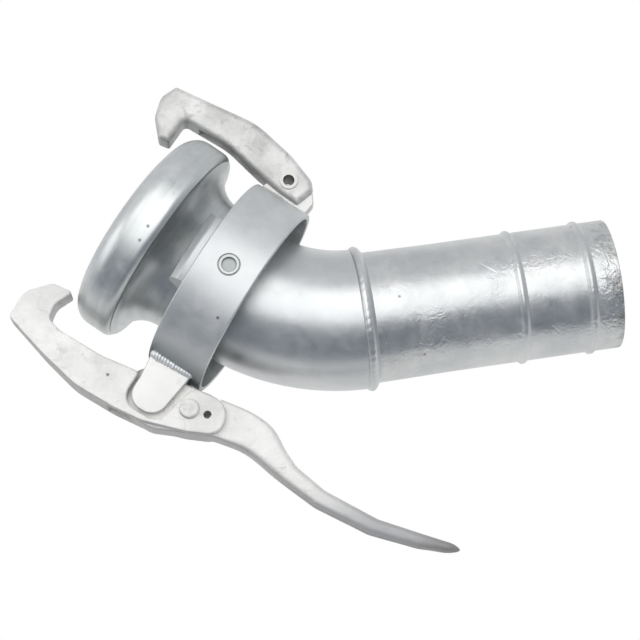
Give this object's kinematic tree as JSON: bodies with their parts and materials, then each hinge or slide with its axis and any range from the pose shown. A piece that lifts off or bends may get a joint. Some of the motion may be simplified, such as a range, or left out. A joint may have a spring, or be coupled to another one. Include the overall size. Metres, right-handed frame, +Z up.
{
  "type": "hose bend with ball lever coupling",
  "caption": "Galvanised pipe bend with a flared ball head, a ridged hose tail and a loose closing ring that carries a counter hook, an over-centre lever and a draw hook.",
  "frame": {"origin": "on the floor below the middle of the bend as it lies on its side, on the ring, the tail end and the lever's tip", "axes": "+Z up; +X runs from the mouth of the ball head towards the tail end, seen from above; +Y towards the counter hook and the side that the tail bends to"},
  "size_m": [0.3998, 0.3368, 0.181],
  "materials": {
    "zinc_ball": "hot-dip galvanised, smooth with dull streaks",
    "zinc_tube": "hot-dip galvanised, satin",
    "zinc_tail": "hot-dip galvanised, lumpy runs and scratches",
    "zinc_ring": "hot-dip galvanised, satin",
    "zinc_casting": "hot-dip galvanised casting, pale and matte",
    "zinc_weld": "galvanised weld bead, rippled",
    "zinc_rivet": "galvanised rivet steel, satin"
  },
  "bodies": {
    "fitting": {"ball_head": "zinc_ball", "bend_tube": "zinc_tube", "hose_tail": "zinc_tail", "head_weld": "zinc_weld", "tail_weld": "zinc_weld"},
    "closing_ring": {"ring_band": "zinc_ring", "guide_pad_near": "zinc_ring", "guide_pad_far": "zinc_ring", "guide_rivet_near": "zinc_rivet", "guide_rivet_far": "zinc_rivet", "hook_lug": "zinc_ring", "lug_weld_near": "zinc_weld", "lug_weld_far": "zinc_weld", "hook_rivet": "zinc_rivet", "ear_near": "zinc_ring", "ear_far": "zinc_ring", "ear_weld_near": "zinc_weld", "ear_weld_far": "zinc_weld", "lever_pin": "zinc_rivet"},
    "counter_hook": {"counter_hook": "zinc_casting"},
    "lever": {"lever": "zinc_casting"},
    "draw_hook": {"draw_hook": "zinc_casting", "link_rivet": "zinc_rivet"}
  },
  "joints": [
    {"name": "ring_slide", "type": "slide", "parent": "fitting", "child": "closing_ring", "axis": [-0.9689, -0.0412, 0.2439], "range_m": [0, 0.01]},
    {"name": "counter_hook_pivot", "type": "hinge", "parent": "closing_ring", "child": "counter_hook", "pos_m": [-0.07694, 0.05526, 0.10105], "axis": [-0.2473, 0.1787, -0.9523], "range_deg": [0, 7]},
    {"name": "lever_pivot", "type": "hinge", "parent": "closing_ring", "child": "lever", "pos_m": [-0.07586, -0.13891, 0.06433], "axis": [-0.2473, 0.1787, -0.9523], "range_deg": [0, 106]},
    {"name": "draw_hook_pivot", "type": "hinge", "parent": "lever", "child": "draw_hook", "pos_m": [-0.04648, -0.13186, 0.05802], "axis": [-0.2473, 0.1787, -0.9523], "range_deg": [-100, 0]}
  ],
  "couplings": [
    {"joint": "draw_hook_pivot", "follows": "lever_pivot", "ratio": -0.9}
  ]
}
